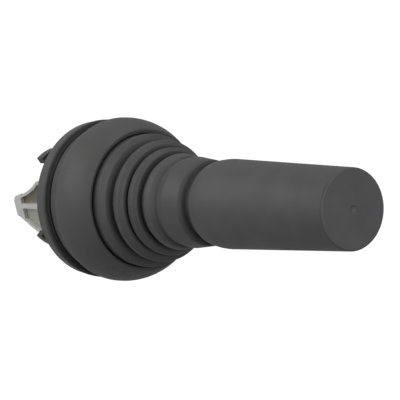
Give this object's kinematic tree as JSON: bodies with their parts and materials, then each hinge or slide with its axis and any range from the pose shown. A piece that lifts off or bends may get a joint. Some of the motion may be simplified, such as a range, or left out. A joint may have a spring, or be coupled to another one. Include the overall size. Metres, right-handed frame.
{
  "type": "panel joystick operator",
  "caption": "Panel-mount joystick operator: tapered round grip on a sprung cardan lever in a folded rubber boot, round bezel, bayonet neck and translucent pushers.",
  "frame": {"origin": "centre of the bezel's rear face, on the panel's front plane", "axes": "+Z along the lever at rest, from the panel towards the grip's end; +X along the fixed cardan axis; the anti-rotation groove is on the +Y side"},
  "size_m": [0.0306, 0.0306, 0.0909],
  "materials": {
    "black_moulding": "satin charcoal",
    "boot_rubber": "satin black rubber",
    "seal_rubber": "matt black rubber",
    "pusher_plastic": "milky translucent",
    "steel": "turned steel",
    "spring_steel": "drawn spring wire",
    "brass": "turned brass",
    "bearing_plastic": "natural bearing plastic",
    "grip_plastic": "fine matt charcoal"
  },
  "bodies": {
    "housing": {"mounting_body": "black_moulding", "bezel_ring": "black_moulding", "panel_gasket": "seal_rubber", "bearing_bushes": "bearing_plastic", "gate_plate": "black_moulding", "gate_screws": "steel", "spring_seat": "steel", "centring_spring": "spring_steel", "guide_plate": "black_moulding", "boot": "boot_rubber", "boot_clamp_ring": "black_moulding"},
    "gimbal": {"gimbal_ring": "steel", "gimbal_pins": "steel", "ring_bushes": "bearing_plastic"},
    "lever": {"rocker": "steel", "cross_pin": "steel", "lever_shaft": "steel", "retaining_clip": "spring_steel", "spring_cap": "steel", "locknut": "steel", "boot_sleeve": "black_moulding", "grip_insert": "brass", "grip": "grip_plastic"},
    "right_pusher": {"pusher_right": "pusher_plastic"},
    "left_pusher": {"pusher_left": "pusher_plastic"},
    "back_pusher": {"pusher_back": "pusher_plastic"},
    "front_pusher": {"pusher_front": "pusher_plastic"}
  },
  "joints": [
    {"name": "tilt_x", "type": "hinge", "parent": "housing", "child": "gimbal", "pos_m": [0, 0, 0.0024], "axis": [1, 0, 0], "range_deg": [-15, 15], "stiffness_Nm_per_rad": 0.5, "deforming": ["boot", "centring_spring"]},
    {"name": "tilt_y", "type": "hinge", "parent": "gimbal", "child": "lever", "pos_m": [0, 0, 0.0024], "axis": [0, 1, 0], "range_deg": [-15, 15], "stiffness_Nm_per_rad": 0.5},
    {"name": "push_right", "type": "slide", "parent": "housing", "child": "right_pusher", "axis": [0, 0, 1], "range_m": [-0.0016, 0.0016]},
    {"name": "push_left", "type": "slide", "parent": "housing", "child": "left_pusher", "axis": [0, 0, 1], "range_m": [-0.0016, 0.0016]},
    {"name": "push_back", "type": "slide", "parent": "housing", "child": "back_pusher", "axis": [0, 0, 1], "range_m": [-0.0016, 0.0016]},
    {"name": "push_front", "type": "slide", "parent": "housing", "child": "front_pusher", "axis": [0, 0, 1], "range_m": [-0.0016, 0.0016]}
  ],
  "couplings": [
    {"joint": "push_right", "follows": "tilt_y", "m_per_rad": -0.006},
    {"joint": "push_left", "follows": "tilt_y", "m_per_rad": 0.006},
    {"joint": "push_back", "follows": "tilt_x", "m_per_rad": 0.006},
    {"joint": "push_front", "follows": "tilt_x", "m_per_rad": -0.006}
  ]
}
